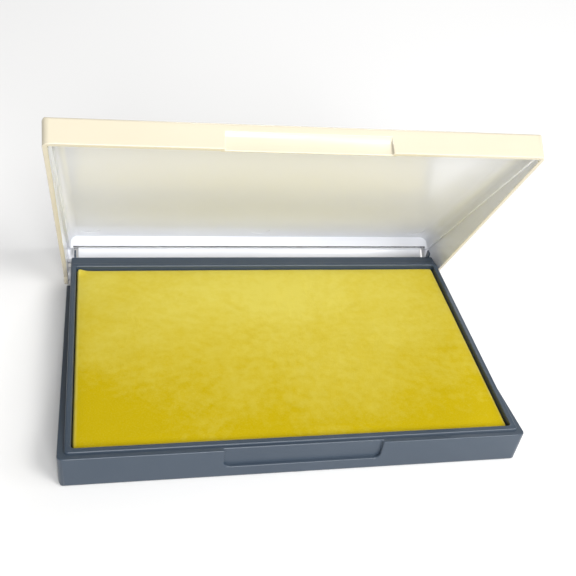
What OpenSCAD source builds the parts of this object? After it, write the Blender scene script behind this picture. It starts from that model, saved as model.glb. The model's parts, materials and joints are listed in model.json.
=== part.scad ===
// Stamp ink pad in a hinged plastic case.
// The origin is the centre of the pad's footprint on the underside of the base.
// +X runs along the hinge, -Y points to the front edge, +Z is up.
// The lid is modelled shut and then turned open about the hinge.

/* [Pad] */
// Width of the inked face, side to side
pad_w = 110; // [90:1:140]
// Depth of the inked face, front to back
pad_d = 68.6; // [55:0.1:90]
// Thickness of the cover cloth
cover_t = 0.6; // [0.4:0.1:0.9]
// Thickness of the ink-soaked felt
felt_t = 5.4; // [5:0.1:6.5]
// Thickness of the board under the felt
board_t = 1; // [0.6:0.1:1.4]

/* [Base] */
// Thickness of the tray floor
floor_t = 2.2; // [1.6:0.1:2.8]
// Gap between the pad and the rim round it
pad_gap = 0.2; // [0.2:0.1:0.5]
// Thickness of the rim round the pad
rim_t = 1.5; // [1.2:0.1:2]
// Height of the rim above the inked face
rim_rise = 1.2; // [0.8:0.1:2]
// Width of the ledge that the lid shuts on
ledge_w = 1.7; // [1.6:0.1:2.4]
// Depth of the front ledge below the top of the rim
ledge_drop = 0.4; // [0.3:0.1:1]
// Fall of the side ledges towards the hinge, in degrees
ledge_slope = 6.3; // [5:0.1:6.5]
// Depth of the deck behind the rear rim
deck_d = 3.5; // [3.4:0.1:3.9]
// Radius of the upright front corners
corner_r = 1.6; // [1:0.1:2]
// Radius of the bottom edge
foot_r = 1; // [0.4:0.1:1.2]

/* [Lid] */
// Height of the shut case
case_h = 16.5; // [16:0.1:19]
// Thickness of the lid's top plate
plate_t = 1.5; // [1.2:0.1:1.8]
// Thickness of the lid's skirt below the rabbet step
skirt_t = 1.2; // [1.1:0.1:1.4]
// Thickness of the lid's skirt above the rabbet step
shoulder_t = 1.9; // [1.8:0.1:2.2]
// How far the lid stands proud of the base at each side
lid_proud = 0.7; // [0.3:0.1:0.8]
// Rounding of the lid's top edges
lid_edge_r = 0.8; // [0.4:0.1:1.2]
// Rounding of the lid's upright corners
lid_corner_r = 1.6; // [1.2:0.1:2.6]
// Rounding between the inside of the lid's plate and its side walls
plate_fillet_r = 2.4; // [1:0.1:2.5]

/* [Hinge] */
// How far the lid stands open, in degrees
open_angle = 53.4; // [0:0.1:96]
// Distance of the hinge axis behind the inked face
hinge_behind = 5.7; // [5.6:0.1:5.8]
// Height of the hinge axis above the table
hinge_z = 3.4; // [3.3:0.1:3.7]
// Radius of the studs moulded on the lid's arms
stud_r = 1; // [0.8:0.05:1.1]
// Radial clearance of the studs in their bores
stud_play = 0.05; // [0.02:0.01:0.1]

/* [Finger grip] */
// Width of the finger pocket and of the recess above it
grip_w = 39.6; // [30:0.1:50]
// Depth of the finger pocket and of the recess above it
grip_depth = 0.9; // [0.6:0.1:0.9]
// Height of the pocket's floor above the table
pocket_floor = 4; // [3:0.1:6]

/* [Hidden] */
$fn = 64;
far = 200;

base_colour = [0.36, 0.40, 0.45];
lid_colour = [0.99, 0.96, 0.85];
cloth_colour = [0.82, 0.74, 0.16];
felt_colour = [0.70, 0.60, 0.10];
board_colour = [0.80, 0.78, 0.72];

// Heights of the layers, from the table up
deck_drop = 0.5;
board_top = floor_t + board_t;
felt_top = board_top + felt_t;
pad_top = felt_top + cover_t;
rim_top = pad_top + rim_rise;
deck_top = rim_top - deck_drop;
ledge_front = rim_top - ledge_drop;

// Half widths and depths, measured from the centre of the pad
cover_side_t = 0.5;
well_corner_r = 0.8;
rim_corner_r = 1;
well_x = pad_w / 2 + pad_gap;
well_y = pad_d / 2 + pad_gap;
rim_x = well_x + rim_t;
rim_y = well_y + rim_t;
base_x = rim_x + ledge_w;
base_y = rim_y + ledge_w;
deck_y = rim_y + deck_d;

// The hinge and what turns about it
hinge_y = pad_d / 2 + hinge_behind;
back_y = deck_y + 2.3;
beam_top = hinge_z + 2.5;
tongue_bottom = hinge_z + 3.7;
arm_bottom = 0.25;
arm_r = hinge_z - arm_bottom;
arm_gap = 0.35;
ledge_end = hinge_y - arm_r - arm_gap;

// The thin upright ribs behind the ends of the deck, and the slots of the lid that clear them
rib_x = rim_x - 1.1;
rib_t = 0.5;
rib_front = deck_y - 0.2;
rib_back = hinge_y + 1.3;
rib_top = hinge_z + 7.9;
slot_play = 0.35;
slot_top = rib_top + 0.3;

// The lid, shut
seat_gap = 0.15;
step_z = rim_top + 0.6;
lid_x = base_x + lid_proud;
arm_in = lid_x - skirt_t;
shoulder_x = lid_x - shoulder_t;
tongue_in = deck_y + 0.4;
shoulder_back = deck_y - 0.6;
inner_r = 0.8;

// The round marks that the mould's ejector pins leave on the inside of the lid
mark_r = 3;
mark_depth = 0.1;
mark_inset = 6;

// Height of the side ledge at a distance y along the case
function ledge_z(y) = ledge_front - (y + base_y) * tan(ledge_slope);

// A rectangle between two corners, with round corners
module round_rect(low, high, r) {
    translate([low.x + r, low.y]) square([high.x - low.x - 2 * r, high.y - low.y]);
    translate([low.x, low.y + r]) square([high.x - low.x, high.y - low.y - 2 * r]);
    for (x = [low.x + r, high.x - r])
        for (y = [low.y + r, high.y - r])
            translate([x, y]) circle(r);
}

// Extrudes an outline drawn in Y and Z along X, from -half to +half
module across(half) {
    translate([-half, 0, 0]) rotate([90, 0, 90]) linear_extrude(2 * half) children();
}

// Extrudes an outline drawn in X and Z along Y, from the front to the back
module along(front, back) {
    translate([0, back, 0]) rotate([90, 0, 0]) linear_extrude(back - front) children();
}

// A block between two corners
module block(low, high) {
    translate(low) cube(high - low);
}

// The base's outer skirt: its top is the ledge, level across and falling to the rear
module base_skirt() {
    intersection() {
        linear_extrude(rim_top)
            round_rect([-base_x, -base_y], [base_x, ledge_end + corner_r], corner_r);
        along(-far, ledge_end) round_rect([-base_x, 0], [base_x, far], foot_r);
        across(far) intersection() {
            round_rect([-base_y, 0], [far, far], foot_r);
            polygon([[-base_y, 0], [ledge_end, 0], [ledge_end, ledge_z(ledge_end)], [-base_y, ledge_front]]);
        }
    }
}

// The tray's walls, the deck behind them and the beam that carries the hinge
module base_tub() {
    linear_extrude(rim_top) round_rect([-rim_x, -rim_y], [rim_x, rim_y], rim_corner_r);
    block([-rim_x, 0, 0], [rim_x, deck_y, deck_top]);
    across(rim_x) round_rect([0, 0], [back_y, beam_top], foot_r);
}

// The thin upright ribs behind the ends of the deck, one on each side
module upright_ribs() {
    for (side = [0, 1])
        mirror([side, 0, 0])
            block([rib_x - rib_t / 2, rib_front, floor_t], [rib_x + rib_t / 2, rib_back, rib_top]);
}

// The finger pocket in the front of the base: its lower corners are round
module base_pocket() {
    along(-far, grip_depth - base_y)
        round_rect([-grip_w / 2, pocket_floor], [grip_w / 2, far], corner_r);
}

module base_case() {
    color(base_colour) difference() {
        union() {
            base_skirt();
            base_tub();
            upright_ribs();
        }
        translate([0, 0, floor_t]) linear_extrude(far)
            round_rect([-well_x, -well_y], [well_x, well_y], well_corner_r);
        base_pocket();
        for (side = [-1, 1])
            translate([side * rim_x, hinge_y, hinge_z]) rotate([0, 90, 0])
                cylinder(h = 5, r = stud_r + stud_play, center = true);
    }
}

module backing_board() {
    x = pad_w / 2 - cover_side_t;
    y = pad_d / 2 - cover_side_t;
    color(board_colour) block([-x, -y, floor_t], [x, y, board_top]);
}

module felt_core() {
    x = pad_w / 2 - cover_side_t;
    y = pad_d / 2 - cover_side_t;
    color(felt_colour) block([-x, -y, board_top], [x, y, felt_top]);
}

// The cloth lies over the felt and is turned down round the felt and the board
module pad_cover() {
    x = pad_w / 2;
    y = pad_d / 2;
    color(cloth_colour) difference() {
        intersection() {
            linear_extrude(pad_top) round_rect([-x, -y], [x, y], cover_t);
            along(-y, y) round_rect([-x, -far], [x, pad_top], cover_t);
            across(x) round_rect([-y, -far], [y, pad_top], cover_t);
        }
        block([-x, -y, -1], [x, y, floor_t + 0.1]);
        block([cover_side_t - x, cover_side_t - y, -1], [x - cover_side_t, y - cover_side_t, felt_top]);
    }
}

// The lid's outline from the side: its free edge follows the ledge, and its arms reach down to the hinge
module lid_profile() {
    polygon([
        [-base_y, ledge_front + seat_gap],
        [hinge_y, ledge_z(hinge_y) + seat_gap],
        [hinge_y, hinge_z],
        [back_y, hinge_z],
        [back_y, case_h],
        [-base_y, case_h]
    ]);
    translate([hinge_y, hinge_z]) circle(arm_r);
}

// The lid's outside: the profile, with its upright corners and its top edges round
module lid_outside() {
    intersection() {
        linear_extrude(case_h) round_rect([-lid_x, -base_y], [lid_x, back_y], lid_corner_r);
        along(-far, far) round_rect([-lid_x, -far], [lid_x, case_h], lid_edge_r);
        across(far) intersection() {
            round_rect([-base_y, -far], [back_y, case_h], lid_edge_r);
            lid_profile();
        }
    }
}

// The thicker stretch of the lid's front wall that the finger recess is cut into
module grip_wall() {
    half = grip_w / 2 + 1;
    rim_clearance = 0.3;
    block([-half, -base_y, -far], [half, -rim_y - rim_clearance, step_z]);
}

// The lid's hollow: narrower above the rabbet step that clears the rim, and round where it meets the plate
module lid_hollow() {
    plate_under = case_h - plate_t;
    intersection() {
        translate([0, 0, -far]) linear_extrude(far + plate_under)
            round_rect([-shoulder_x, shoulder_t - base_y], [shoulder_x, shoulder_back], inner_r);
        along(-far, far) round_rect([-shoulder_x, -far], [shoulder_x, plate_under], plate_fillet_r);
    }
    difference() {
        block([-arm_in, skirt_t - base_y, -far], [arm_in, tongue_in, step_z]);
        grip_wall();
    }
    block([-arm_in, 0, -far], [arm_in, far, tongue_bottom]);
}

// The slots at the ends of the tongue that clear the base's upright ribs
module rib_slots() {
    half = rib_t / 2 + slot_play;
    for (side = [0, 1])
        mirror([side, 0, 0])
            block([rib_x - half, shoulder_back - seat_gap, hinge_z], [rib_x + half, far, slot_top]);
}

// The finger recess in the lid's front: a slope that runs in, then a flat down to the free edge
module lid_recess() {
    face = grip_depth - base_y;
    slope_top = case_h - 2;
    slope_bottom = case_h - 3.4;
    across(grip_w / 2)
        polygon([[-far, slope_top], [-base_y, slope_top], [face, slope_bottom], [face, 0], [-far, 0]]);
}

// The ejector pins' marks: a row of three near the front of the lid and one near the back
module ejector_marks() {
    for (x = [mark_inset - shoulder_x, 0, shoulder_x - mark_inset])
        for (y = [mark_inset - rim_y, shoulder_back - mark_inset])
            translate([x, y, case_h - plate_t - 1]) cylinder(h = 1 + mark_depth, r = mark_r);
}

// A hinge stud with the collar that keeps the arm off the end of the base
module hinge_stud() {
    collar_gap = 0.3;
    rotate([0, 90, 0]) {
        translate([0, 0, rim_x + collar_gap]) cylinder(h = arm_in - rim_x, r = 2 * stud_r);
        translate([0, 0, rim_x - 2]) cylinder(h = arm_in - rim_x + 2.5, r = stud_r);
    }
}

module lid_shut() {
    difference() {
        lid_outside();
        lid_hollow();
        rib_slots();
        lid_recess();
        ejector_marks();
    }
    for (side = [0, 1])
        mirror([side, 0, 0]) translate([0, hinge_y, hinge_z]) hinge_stud();
}

module lid_shell() {
    color(lid_colour)
        translate([0, hinge_y, hinge_z]) rotate([-open_angle, 0, 0])
            translate([0, -hinge_y, -hinge_z]) lid_shut();
}

base_case();
backing_board();
felt_core();
pad_cover();
lid_shell();
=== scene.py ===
"""The looks of the ink pad: a satin slate base, a glossy ivory lid and a yellow cloth-covered pad."""
import json
import math

import bmesh
import bpy
from mathutils import Matrix, Vector, noise


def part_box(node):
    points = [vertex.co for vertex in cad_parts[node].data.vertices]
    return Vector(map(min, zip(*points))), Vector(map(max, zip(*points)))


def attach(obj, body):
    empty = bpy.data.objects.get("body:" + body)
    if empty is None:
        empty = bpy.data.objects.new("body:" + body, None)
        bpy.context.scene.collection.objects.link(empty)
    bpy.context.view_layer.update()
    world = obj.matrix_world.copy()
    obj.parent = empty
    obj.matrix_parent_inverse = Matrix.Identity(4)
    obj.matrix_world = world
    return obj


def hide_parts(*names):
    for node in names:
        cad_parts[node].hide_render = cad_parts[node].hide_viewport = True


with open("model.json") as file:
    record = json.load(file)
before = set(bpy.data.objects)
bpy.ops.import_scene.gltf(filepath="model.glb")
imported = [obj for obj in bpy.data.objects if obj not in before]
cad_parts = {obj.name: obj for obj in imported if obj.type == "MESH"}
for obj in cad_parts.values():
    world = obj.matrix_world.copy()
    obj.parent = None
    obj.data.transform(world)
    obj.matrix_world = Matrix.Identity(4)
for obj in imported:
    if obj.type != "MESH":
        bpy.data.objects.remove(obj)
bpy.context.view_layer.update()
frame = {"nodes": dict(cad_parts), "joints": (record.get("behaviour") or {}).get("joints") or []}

MM = 0.001
COVER_LOW, COVER_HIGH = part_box("pad_cover")
FELT_LOW, FELT_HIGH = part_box("felt_core")
BASE_LOW, BASE_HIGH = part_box("base_case")

# The camera stands in front of the pad and to its left, above it, and is rolled a little.
CAMERA_PLACE = Vector((-44.87, -164.13, 160.91)) * MM
CAMERA_YAW = math.radians(17.34)
CAMERA_DOWN = math.radians(40.45)
CAMERA_ROLL = math.radians(10.19)
CAMERA_LENS = 51.44
CAMERA_SHIFT = (-0.031, 0.073)

# The lid's hinge, and the lid when it is shut: a little less than its thinnest wall, the height of its
# plate's underside, and a band about that height that holds the ejector marks.
HINGE = frame["joints"][0]
LID_HALF_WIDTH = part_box("lid_shell")[1].x
LID_WALL = 1.1 * MM
LID_PLATE_UNDER = 15.0 * MM
MARK_BAND = 0.15 * MM
MARK_EDGE = 1 * MM

# The base's thin upright ribs.
RIB_X = 55.6 * MM
RIB_FRONT = 39 * MM
RIB_THICKNESS = 0.5 * MM

# The radii of the mouldings' edges; the base's is the largest. Faces that meet at more than SHARP count.
BASE_RADIUS = 0.35 * MM
LID_RADIUS = 0.22 * MM
RIB_RADIUS = 0.12 * MM
SHARP = math.radians(35)
NEARLY_FLAT = math.radians(0.5)

# The cover cloth is cut to the pad's top with a turn more at each edge, to turn down its sides. The
# simulation holds its lowest band, and SOFT_EDGE rounds the cloth's edges and the felt's.
CLOTH_THICKNESS = 0.45 * MM
CLOTH_HEM = COVER_LOW.z + 0.9 * MM
CLOTH_HELD = 3 * MM
CLOTH_STEPS = 20
CLOTH_STIFFNESS = 40
SOFT_EDGE = 0.35 * MM

# The floor lies a hair below the base, so that the two don't flicker.
FLOOR_HALF_WIDTH = 3.0
FLOOR_GAP = 0.02 * MM


# ---------------------------------------------------------------- small helpers


def link(piece):
    """Puts a new object in the scene."""
    bpy.context.scene.collection.objects.link(piece)
    return piece


def smooth(piece):
    """Shades every face of a piece smooth."""
    for face in piece.data.polygons:
        face.use_smooth = True


def apply_modifiers(piece):
    """Bakes a piece's modifiers into its mesh."""
    graph = bpy.context.evaluated_depsgraph_get()
    mesh = bpy.data.meshes.new_from_object(piece.evaluated_get(graph))
    piece.modifiers.clear()
    piece.data = mesh


# ---------------------------------------------------------------- material nodes


class Shader:
    """A material's node tree, with short calls for the nodes that the materials share."""

    def __init__(self, name):
        self.material = bpy.data.materials.new(name)
        self.material.use_nodes = True
        self.tree = self.material.node_tree
        self.surface = self.tree.nodes["Principled BSDF"]
        self.place = self.tree.nodes.new("ShaderNodeTexCoord").outputs["Object"]

    def put(self, socket, value):
        """Sets a socket to a value, or links it to another node's output."""
        if isinstance(value, bpy.types.NodeSocket):
            self.tree.links.new(value, socket)
        else:
            socket.default_value = value

    def noise(self, scale, detail=3.0, roughness=0.5):
        """Noise in the object's own space; scale is in features per metre."""
        node = self.tree.nodes.new("ShaderNodeTexNoise")
        self.put(node.inputs["Vector"], self.place)
        node.inputs["Scale"].default_value = scale
        node.inputs["Detail"].default_value = detail
        node.inputs["Roughness"].default_value = roughness
        return node.outputs["Fac"]

    def map(self, value, low, high, to_low=0.0, to_high=1.0):
        """Maps a value from one range to another, clamped."""
        node = self.tree.nodes.new("ShaderNodeMapRange")
        self.put(node.inputs["Value"], value)
        for name, number in zip(("From Min", "From Max", "To Min", "To Max"), (low, high, to_low, to_high)):
            node.inputs[name].default_value = number
        return node.outputs["Result"]

    def math(self, operation, first, second=0.0):
        """One step of arithmetic."""
        node = self.tree.nodes.new("ShaderNodeMath")
        node.operation = operation
        self.put(node.inputs[0], first)
        self.put(node.inputs[1], second)
        return node.outputs["Value"]

    def mix(self, factor, first, second):
        """Mixes two colours."""
        node = self.tree.nodes.new("ShaderNodeMix")
        node.data_type = "RGBA"
        self.put(node.inputs["Factor"], factor)
        self.put(node.inputs["A"], first)
        self.put(node.inputs["B"], second)
        return node.outputs["Result"]

    def split(self, vector):
        """The X, Y and Z of a vector."""
        node = self.tree.nodes.new("ShaderNodeSeparateXYZ")
        self.put(node.inputs[0], vector)
        return node.outputs

    def bump(self, height, distance, strength=1.0, below=None):
        """A bump from a height of 0 to 1, distance metres deep; below is a bump that it lies over."""
        node = self.tree.nodes.new("ShaderNodeBump")
        self.put(node.inputs["Height"], height)
        node.inputs["Distance"].default_value = distance
        node.inputs["Strength"].default_value = strength
        if below is not None:
            self.put(node.inputs["Normal"], below)
        return node.outputs["Normal"]

    def finish(self, colour, roughness, normal, **constants):
        """Links the surface's colour, roughness and normal, and sets its other sockets."""
        self.put(self.surface.inputs["Base Color"], colour)
        self.put(self.surface.inputs["Roughness"], roughness)
        self.put(self.surface.inputs["Normal"], normal)
        for name, value in constants.items():
            self.surface.inputs[name.replace("_", " ")].default_value = value
        return self.material


def moulded_plastic(name, colour, pale_colour, shine):
    """Injection-moulded plastic: faint flow marks in its colour, and a very fine skin over slow waves."""
    s = Shader(name)
    flow = s.map(s.noise(28, 4, 0.55), 0.35, 0.65)
    body = s.mix(s.math("MULTIPLY", flow, 0.35), colour, pale_colour)
    roughness = s.map(s.noise(160, 3), 0.3, 0.7, shine - 0.04, shine + 0.05)
    skin = s.bump(s.noise(5200, 2), 0.004 * MM)
    waves = s.bump(s.noise(45, 2), 0.03 * MM, 0.5, skin)
    return s.finish(body, roughness, waves, IOR=1.5)


def ink_cloth():
    """Ink-soaked cover cloth: mottled yellow, paler in patches where less ink has come up, with a fine nap,
    and a painted reflection of the white lid that makes it paler towards the back and less so at its sides.
    """
    s = Shader("ink_cloth")
    x, y, _ = s.split(s.place)
    deep = (0.45, 0.335, 0.0, 1)
    pale_and_painted_sheen = (0.54, 0.465, 0.08, 1)
    dry = (0.55, 0.48, 0.12, 1)
    # Painted reflection: the cloth grows paler from front to back, less so towards its sides, as if it
    # mirrored the white lid. The patches and mottle add a random tone on top.
    painted_reflection_to_back = s.map(y, COVER_LOW.y, COVER_HIGH.y * 0.6)
    patches = s.map(s.noise(55, 4, 0.62), 0.38, 0.66, -0.14, 0.20)
    mottle = s.map(s.noise(420, 3, 0.6), 0.35, 0.65, -0.10, 0.12)
    painted_reflection_sides = s.map(s.math("ABSOLUTE", x), 0.3 * COVER_HIGH.x, COVER_HIGH.x, 0.0, -0.30)
    painted_reflection_slope = s.math("ADD", s.math("MULTIPLY", painted_reflection_to_back, 0.85), painted_reflection_sides)
    paleness_and_painted_reflection = s.math("ADD", s.math("ADD", painted_reflection_slope, patches), mottle)
    colour = s.mix(s.map(paleness_and_painted_reflection, 0.0, 1.0), deep, pale_and_painted_sheen)
    inner, outer = 1.1 * MM, 0.3 * MM
    side = s.map(s.math("ABSOLUTE", x), COVER_HIGH.x - inner, COVER_HIGH.x - outer)
    ends = s.map(s.math("ABSOLUTE", y), COVER_HIGH.y - inner, COVER_HIGH.y - outer)
    edge = s.math("MAXIMUM", side, ends)
    worn_edge = s.math("MULTIPLY", edge, s.map(s.noise(260, 3), 0.3, 0.7, 0.35, 0.9))
    colour = s.mix(worn_edge, colour, dry)
    fibres = s.noise(2600, 4, 0.65)
    colour = s.mix(s.map(fibres, 0.45, 0.75, 0.0, 0.22), colour, pale_and_painted_sheen)
    cells = s.tree.nodes.new("ShaderNodeTexVoronoi")
    s.put(cells.inputs["Vector"], s.place)
    cells.inputs["Scale"].default_value = 2200
    nap = s.bump(fibres, 0.05 * MM, 0.8)
    pores = s.bump(cells.outputs["Distance"], 0.03 * MM, 0.5, nap)
    hollows = s.bump(s.noise(190, 3), 0.12 * MM, 0.6, pores)
    roughness = s.map(s.noise(300, 3), 0.3, 0.7, 0.55, 0.75)
    return s.finish(colour, roughness, hollows, Specular_IOR_Level=0.06)


def plain_felt():
    """The felt inside: soaked through, coarser than the cloth."""
    s = Shader("soaked_felt")
    fibres = s.noise(1500, 5, 0.7)
    colour = s.mix(s.map(fibres, 0.35, 0.65), (0.33, 0.24, 0.01, 1), (0.46, 0.36, 0.04, 1))
    nap = s.bump(fibres, 0.15 * MM)
    return s.finish(colour, s.map(s.noise(300), 0.3, 0.7, 0.75, 0.95), nap, Sheen_Weight=0.3)


def pressed_board():
    """The stiff board under the felt, stained here and there by the ink."""
    s = Shader("pressed_board")
    stain = s.map(s.noise(70, 4), 0.45, 0.7)
    colour = s.mix(stain, (0.60, 0.57, 0.48, 1), (0.58, 0.50, 0.18, 1))
    grain = s.bump(s.noise(1800, 4), 0.04 * MM)
    return s.finish(colour, s.map(s.noise(400), 0.3, 0.7, 0.7, 0.9), grain)


def studio_floor():
    """The pale floor."""
    s = Shader("studio_floor")
    colour = s.mix(s.noise(3), (0.79, 0.79, 0.79, 1), (0.81, 0.81, 0.81, 1))
    return s.finish(colour, 0.9, s.bump(s.noise(400), 0.02 * MM))


# ---------------------------------------------------------------- the case's mouldings


def sharp_edges(shape):
    """The edges of a shape where two faces meet sharply."""
    return [edge for edge in shape.edges if len(edge.link_faces) == 2 and edge.calc_face_angle() > SHARP]


def base_radius(edge):
    """The radius of one of the base's edges: inner corners stay sharp, and the thin ribs take less."""
    if not edge.is_convex:
        return 0
    middle = (edge.verts[0].co + edge.verts[1].co) / 2
    on_rib = abs(abs(middle.x) - RIB_X) < RIB_THICKNESS and middle.y > RIB_FRONT
    return RIB_RADIUS if on_rib else BASE_RADIUS


def lid_radius(edge):
    """The radius of one of the lid's edges: inner corners and the shallow ejector marks stay sharp."""
    middle = shut((edge.verts[0].co + edge.verts[1].co) / 2)
    ejector_mark = abs(middle.z - LID_PLATE_UNDER) < MARK_BAND and edge.calc_length() < MARK_EDGE
    return LID_RADIUS if edge.is_convex and not ejector_mark else 0


def moulding(node, name, radius, material, body):
    """A CAD node's shape as a moulding, with its flat faces made whole and its sharp edges rounded."""
    mesh = frame["nodes"][node].data.copy()
    mesh.materials.clear()
    mesh.materials.append(material)
    piece = link(bpy.data.objects.new(name, mesh))
    shape = bmesh.new()
    shape.from_mesh(mesh)
    bmesh.ops.remove_doubles(shape, verts=shape.verts, dist=0.001 * MM)
    bmesh.ops.dissolve_limit(shape, angle_limit=NEARLY_FLAT, verts=shape.verts, edges=shape.edges)
    weight = shape.edges.layers.float.new("bevel_weight_edge")
    for edge in sharp_edges(shape):
        edge[weight] = radius(edge) / BASE_RADIUS
        edge.smooth = radius(edge) > 0
    for face in shape.faces:
        face.material_index = 0
        face.smooth = True
    shape.to_mesh(mesh)
    shape.free()
    bevel = piece.modifiers.new("edge_rounding", "BEVEL")
    bevel.width = BASE_RADIUS
    bevel.segments = 3
    bevel.limit_method = "WEIGHT"
    bevel.use_clamp_overlap = False
    even = piece.modifiers.new("even_shading", "WEIGHTED_NORMAL")
    even.keep_sharp = True
    even.weight = 100
    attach(piece, body)
    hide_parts(node)
    return piece


def shut(place):
    """Where a point of the open lid is when the lid is shut, by the hinge's own axis and range."""
    turn = math.radians(HINGE["range_deg"][0])
    pivot = Vector(HINGE["pos_m"])
    return pivot + Matrix.Rotation(turn, 3, Vector(HINGE["axis"])) @ (place - pivot)


def line_inside(lid, material):
    """Gives the faces that bound the lid's hollow a greyer, bluer copy of the lid's plastic: painted light,
    cool light from the front inside the lid against warm light painted as cream on its outside.
    """
    lid.data.materials.append(material)
    half = LID_HALF_WIDTH - LID_WALL
    front = BASE_LOW.y + LID_WALL
    top = LID_PLATE_UNDER + MARK_BAND
    for face in lid.data.polygons:
        places = [shut(lid.data.vertices[i].co) for i in face.vertices]
        outward = shut(face.center + face.normal) - shut(face.center)
        hollow = all(abs(place.x) < half and place.y > front and place.z < top for place in places)
        behind = min(place.y for place in places) > BASE_HIGH.y - LID_WALL
        if hollow and not (behind and outward.y > 0.5):
            face.material_index = 1


# ---------------------------------------------------------------- the pad


def soft_block(name, low, high, voxel):
    """A closed block with its corners and edges a little round, cut into an even grid of faces."""
    shape = bmesh.new()
    size = high - low
    place = Matrix.Translation((low + high) / 2) @ Matrix.Diagonal((*size, 1))
    bmesh.ops.create_cube(shape, size=1, matrix=place)
    bmesh.ops.bevel(shape, geom=shape.edges, offset=SOFT_EDGE, segments=2, profile=0.5, affect="EDGES")
    mesh = bpy.data.meshes.new(name)
    shape.to_mesh(mesh)
    shape.free()
    piece = link(bpy.data.objects.new(name, mesh))
    remesh = piece.modifiers.new("even_grid", "REMESH")
    remesh.mode = "VOXEL"
    remesh.voxel_size = voxel
    apply_modifiers(piece)
    return piece


def crown_by_pressure(piece, pressure, cap):
    """Lets a little pressure swell the cloth, as felt does; the rim holds its sides, so it only rises."""
    start = [vertex.co.copy() for vertex in piece.data.vertices]
    held = piece.vertex_groups.new(name="held")
    floor_z = min(point.z for point in start)
    held.add([i for i, point in enumerate(start) if point.z < floor_z + CLOTH_HELD], 1.0, "REPLACE")
    cloth = piece.modifiers.new("cloth", "CLOTH")
    cloth.settings.use_pressure = True
    cloth.settings.uniform_pressure_force = pressure
    cloth.settings.effector_weights.gravity = 0
    cloth.settings.quality = 4
    cloth.settings.tension_stiffness = CLOTH_STIFFNESS
    cloth.settings.compression_stiffness = CLOTH_STIFFNESS
    cloth.settings.bending_stiffness = 2
    cloth.settings.vertex_group_mass = held.name
    scene = bpy.context.scene
    cloth.point_cache.frame_start = 1
    cloth.point_cache.frame_end = CLOTH_STEPS
    for step in range(1, CLOTH_STEPS + 1):
        scene.frame_set(step)
    apply_modifiers(piece)
    scene.frame_set(1)
    for vertex, before in zip(piece.data.vertices, start):
        rise = min(vertex.co.z - before.z, cap)
        vertex.co = before + Vector((0, 0, rise))


def soften_cloth_top(piece):
    """The hollows and wrinkles of cloth over felt, and its back left corner, which lifts a little."""
    fade = 2 * MM
    corner = Vector((COVER_LOW.x + 0.4 * MM, COVER_HIGH.y - 0.4 * MM))
    corner_reach = 1.6 * MM
    corner_lift = 0.8 * MM
    for vertex in piece.data.vertices:
        place = vertex.co
        share = max(0.0, min(1.0, (place.z - COVER_HIGH.z + fade) / fade))
        slow = noise.noise(place * 40)
        quick = noise.noise(place * 260)
        place.z += share * (0.10 * MM * slow + 0.04 * MM * quick)
        away = (place.xy - corner).length / corner_reach
        place.z += share * corner_lift * math.exp(-away * away)


def cover_cloth():
    """The cover cloth: a taut sheet over the felt, turned down its sides."""
    swell = Vector((0.10, 0.10, -0.05)) * MM
    piece = soft_block("pad_cloth", COVER_LOW - swell, COVER_HIGH + swell, voxel=0.7 * MM)
    crown_by_pressure(piece, pressure=2.0, cap=0.25 * MM)
    soften_cloth_top(piece)
    shape = bmesh.new()
    shape.from_mesh(piece.data)
    under = [face for face in shape.faces if face.calc_center_median().z < CLOTH_HEM]
    bmesh.ops.delete(shape, geom=under, context="FACES")
    shape.to_mesh(piece.data)
    shape.free()
    piece.data.materials.clear()
    piece.data.materials.append(ink_cloth())
    smooth(piece)
    thickness = piece.modifiers.new("cloth_thickness", "SOLIDIFY")
    thickness.thickness = CLOTH_THICKNESS
    thickness.offset = -1
    finer = piece.modifiers.new("finer", "SUBSURF")
    finer.levels = 1
    finer.render_levels = 1
    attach(piece, "base")
    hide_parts("pad_cover")


def felt_block():
    """The felt under the cloth, soft at its edges."""
    slack = Vector((0.15, 0.15, 0.1)) * MM
    piece = soft_block("felt_block", FELT_LOW + slack, FELT_HIGH - slack, voxel=1.5 * MM)
    for vertex in piece.data.vertices:
        vertex.co -= vertex.normal * 0.05 * MM * (1 + noise.noise(vertex.co * 500))
    piece.data.materials.clear()
    piece.data.materials.append(plain_felt())
    smooth(piece)
    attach(piece, "base")
    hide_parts("felt_core")


def board():
    """The CAD board keeps its shape and gets its own material."""
    node = frame["nodes"]["backing_board"]
    node.data.materials.clear()
    node.data.materials.append(pressed_board())


# ---------------------------------------------------------------- floor, light and camera


def floor():
    """A wide pale floor that the case stands on."""
    shape = bmesh.new()
    bmesh.ops.create_grid(shape, x_segments=8, y_segments=8, size=FLOOR_HALF_WIDTH)
    mesh = bpy.data.meshes.new("floor")
    shape.to_mesh(mesh)
    shape.free()
    piece = link(bpy.data.objects.new("floor", mesh))
    piece.location.z = BASE_LOW.z - FLOOR_GAP
    mesh.materials.append(studio_floor())


def softbox(name, place, target, size, power, colour=(1, 1, 1)):
    """A square area light at place that shines at target."""
    light = bpy.data.lights.new(name, "AREA")
    light.shape = "SQUARE"
    light.size = size
    light.energy = power
    light.color = colour
    lamp = link(bpy.data.objects.new(name, light))
    lamp.location = place
    lamp.rotation_euler = (Vector(target) - Vector(place)).to_track_quat("-Z", "Y").to_euler()


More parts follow.
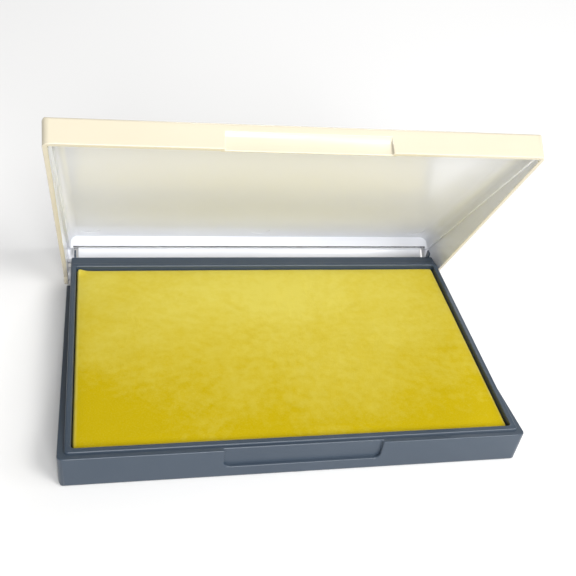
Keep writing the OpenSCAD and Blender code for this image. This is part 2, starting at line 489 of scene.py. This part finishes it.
def studio_light():
    """A soft key light from the right, a broad one from in front, and weaker ones behind, in a pale room."""
    centre = (0, 0, 0.02)
    softbox("key", (0.42, -0.50, 0.62), centre, 0.35, 5.0, (1.0, 0.99, 0.97))
    softbox("front", (0.0, -0.75, 0.45), centre, 0.35, 6.3)
    softbox("right", (0.75, -0.25, 0.35), centre, 0.35, 1.8)
    softbox("back", (0.20, 0.80, 0.60), centre, 0.40, 3.5)
    world = bpy.data.worlds.new("pale_room")
    world.use_nodes = True
    background = world.node_tree.nodes["Background"]
    background.inputs["Color"].default_value = (1, 1, 1, 1)
    background.inputs["Strength"].default_value = 0.32
    bpy.context.scene.world = world
    bpy.context.scene.view_settings.view_transform = "Standard"


def camera():
    """The camera at the reference view: its axes follow from its yaw, its tilt down and its roll."""
    ahead = Vector((
        math.sin(CAMERA_YAW) * math.cos(CAMERA_DOWN),
        math.cos(CAMERA_YAW) * math.cos(CAMERA_DOWN),
        -math.sin(CAMERA_DOWN),
    ))
    level = Vector((math.cos(CAMERA_YAW), -math.sin(CAMERA_YAW), 0))
    upright = level.cross(ahead)
    right = level * math.cos(CAMERA_ROLL) + upright * math.sin(CAMERA_ROLL)
    up = upright * math.cos(CAMERA_ROLL) - level * math.sin(CAMERA_ROLL)
    data = bpy.data.cameras.new("camera")
    data.sensor_width = 36
    data.sensor_height = 36
    data.sensor_fit = "HORIZONTAL"
    data.lens = CAMERA_LENS
    data.shift_x, data.shift_y = CAMERA_SHIFT
    data.clip_start = 0.01
    piece = link(bpy.data.objects.new("camera", data))
    turn = Matrix((right, up, -ahead)).transposed()
    piece.matrix_world = Matrix.Translation(CAMERA_PLACE) @ turn.to_4x4()
    bpy.context.scene.camera = piece


# ---------------------------------------------------------------- the scene

camera()
studio_light()
floor()
slate = moulded_plastic("slate_plastic", (0.034, 0.050, 0.073, 1), (0.052, 0.071, 0.096, 1), shine=0.32)
# Painted light: the lid's ivory is tinted cream for warm light from above, and its inside is a greyer, bluer
# copy for cool light from the front.
ivory = moulded_plastic("ivory_plastic", (0.575, 0.525, 0.405, 1), (0.605, 0.56, 0.445, 1), shine=0.22)
inside_painted_cool_light = moulded_plastic("lid_inside_painted_cool_light", (0.69, 0.705, 0.745, 1), (0.72, 0.735, 0.775, 1), shine=0.18)
moulding("base_case", "case_base", base_radius, slate, "base")
lid = moulding("lid_shell", "case_lid", lid_radius, ivory, "lid")
line_inside(lid, inside_painted_cool_light)
board()
felt_block()
cover_cloth()
